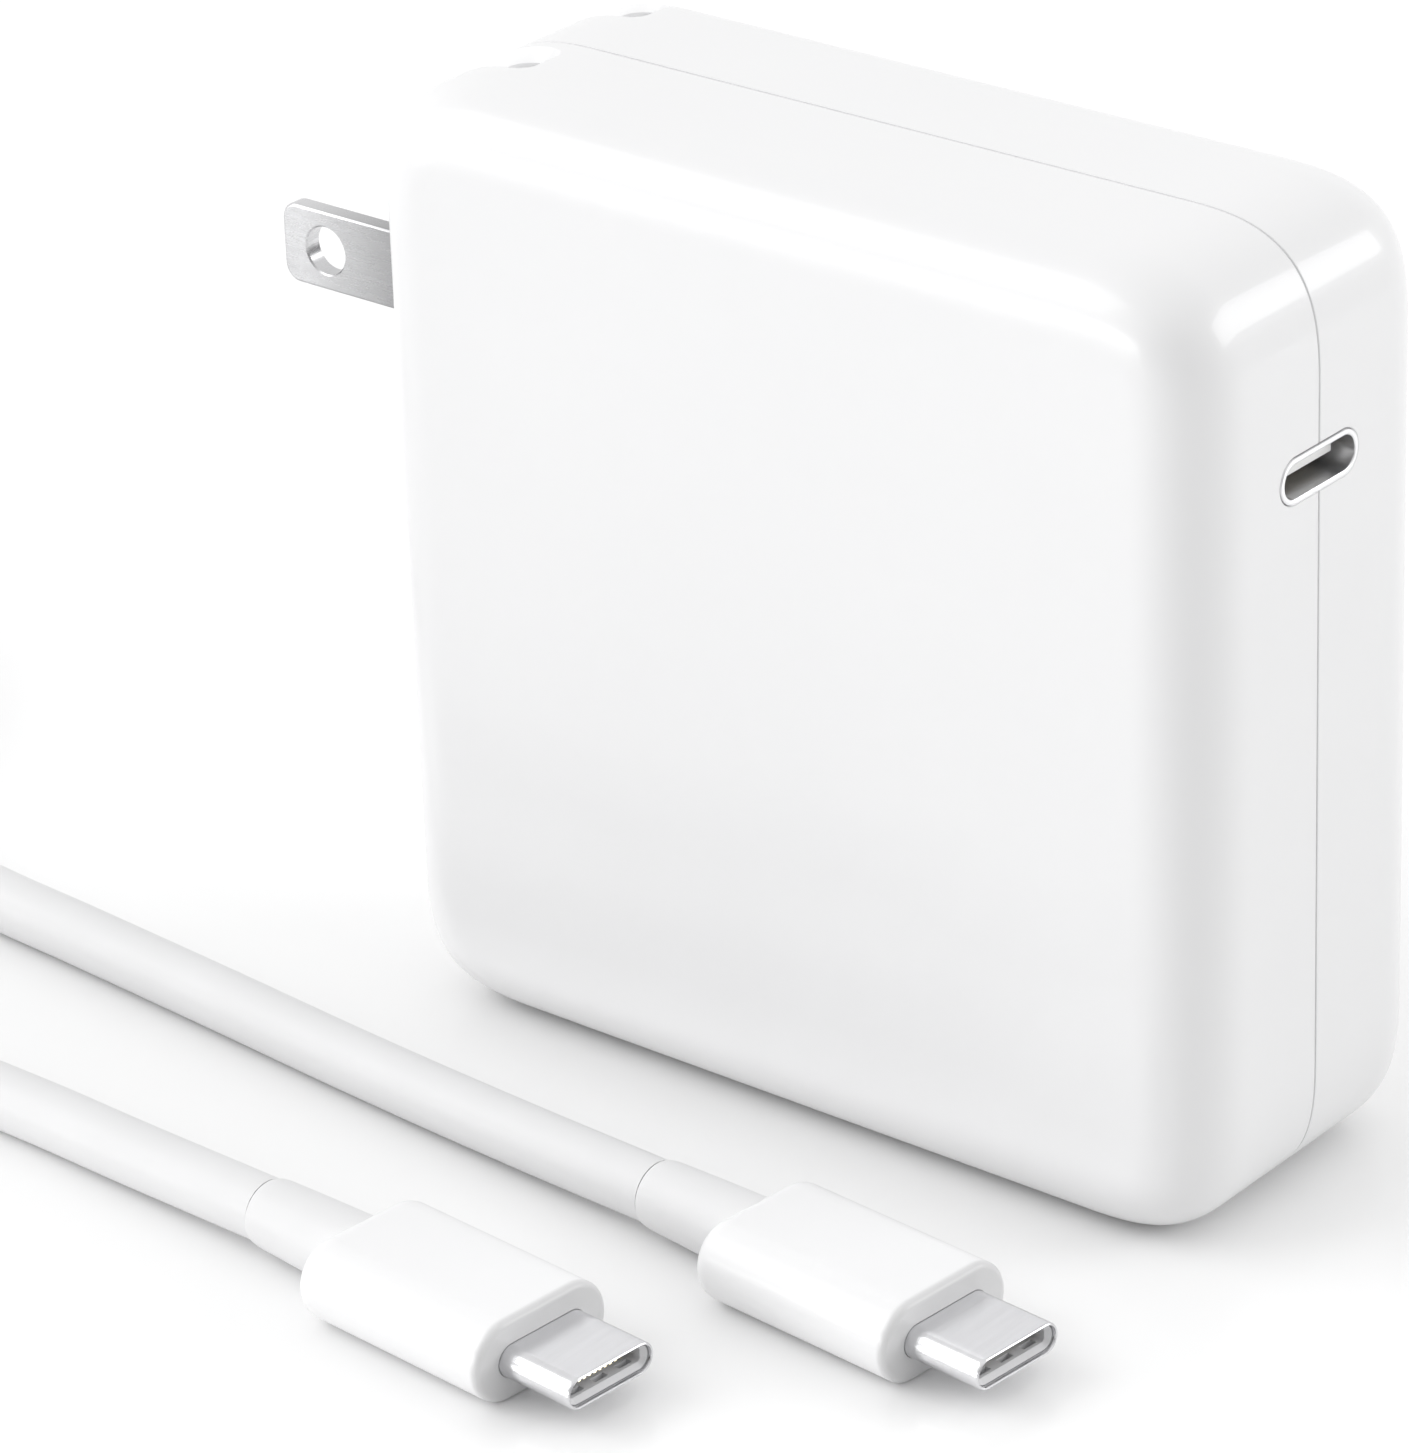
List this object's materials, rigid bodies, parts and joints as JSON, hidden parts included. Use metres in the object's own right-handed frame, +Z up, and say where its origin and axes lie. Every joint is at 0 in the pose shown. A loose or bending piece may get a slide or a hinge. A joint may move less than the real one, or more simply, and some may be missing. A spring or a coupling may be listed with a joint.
{
  "type": "laptop power adapter",
  "caption": "Flat square white mains power adapter with two folding plug blades, one USB-C port, and a separate charging cable with a USB-C plug at each end.",
  "frame": {"origin": "centre of the adapter's flat base, on the surface it stands on", "axes": "+X towards the charging port (the mains blades point along -X), +Y towards the back face, +Z up"},
  "size_m": [0.2087, 0.0852, 0.074],
  "materials": {
    "shell_plastic": "moulded gloss white",
    "carrier_plastic": "moulded white",
    "blade_metal": "nickel-plated, brushed along its length",
    "spring_metal": "rolled spring strip",
    "contact_metal": "rolled strip",
    "lead_live": "wire insulation",
    "lead_neutral": "wire insulation",
    "port_metal": "drawn and plated",
    "port_plastic": "moulded",
    "gold": "gold-plated",
    "board": "glass-epoxy laminate with solder mask",
    "epoxy_blue": "dipped epoxy coating",
    "epoxy_brown": "moulded case",
    "epoxy_green": "dipped epoxy coating",
    "film_yellow": "moulded case",
    "ferrite": "sintered, ground faces",
    "enamel_wire": "enamelled copper wire",
    "chip_black": "moulded epoxy",
    "capacitor_sleeve": "shrunk sleeve",
    "capacitor_can": "drawn can",
    "sink_metal": "stamped sheet",
    "bobbin_plastic": "moulded phenolic",
    "winding_tape": "polyester tape",
    "optocoupler_body": "moulded epoxy",
    "insulator_sheet": "fibre sheet",
    "pad_silicone": "soft silicone",
    "grip_plastic": "moulded satin white",
    "plug_metal": "drawn and plated",
    "plug_insert": "moulded",
    "cable_jacket": "smooth soft-touch jacket",
    "tie_strap": "hook-and-loop strap"
  },
  "bodies": {
    "root": {"front_shell": "shell_plastic", "back_shell": "shell_plastic", "plug_base": "shell_plastic", "detent_spring": "spring_metal", "line_contact_front": "contact_metal", "line_contact_back": "contact_metal", "lead_front": "lead_live", "lead_back": "lead_neutral", "receptacle_shell": "port_metal", "receptacle_tongue": "port_plastic", "receptacle_contacts": "gold", "main_pcb": "board", "port_pcb": "board", "fuse": "epoxy_brown", "varistor": "epoxy_blue", "thermistor": "epoxy_green", "x_capacitor": "film_yellow", "choke_core": "ferrite", "choke_windings": "enamel_wire", "bridge_rectifier": "chip_black", "bulk_capacitor_left": "capacitor_sleeve", "bulk_capacitor_right": "capacitor_sleeve", "primary_transistor": "chip_black", "primary_heatsink": "sink_metal", "transformer_core": "ferrite", "transformer_bobbin": "bobbin_plastic", "transformer_winding": "winding_tape", "y_capacitor": "epoxy_blue", "optocoupler": "optocoupler_body", "rectifier_transistor": "chip_black", "secondary_heatsink": "sink_metal", "output_capacitors": "capacitor_can", "output_inductor": "enamel_wire", "control_chips": "chip_black", "charge_controller": "chip_black", "insulating_sheet": "insulator_sheet", "front_heat_spreader": "sink_metal", "back_heat_spreader": "sink_metal", "thermal_pad": "pad_silicone", "plug_a_grip": "grip_plastic", "plug_a_shell": "plug_metal", "plug_a_insulator": "plug_insert", "plug_a_contacts": "gold", "plug_a_sleeve": "cable_jacket", "plug_b_grip": "grip_plastic", "plug_b_shell": "plug_metal", "plug_b_insulator": "plug_insert", "plug_b_contacts": "gold", "plug_b_sleeve": "cable_jacket", "cable_run_a": "cable_jacket", "cable_run_b": "cable_jacket", "cable_coil": "cable_jacket", "coil_tie": "tie_strap"},
    "blades": {"blade_carrier": "carrier_plastic", "blade_front": "blade_metal", "blade_back": "blade_metal"}
  },
  "joints": [
    {"name": "blade_fold", "type": "hinge", "parent": "root", "child": "blades", "pos_m": [-0.035, 0.0026, 0.0513], "axis": [0, 1, 0], "range_deg": [0, 90]}
  ]
}
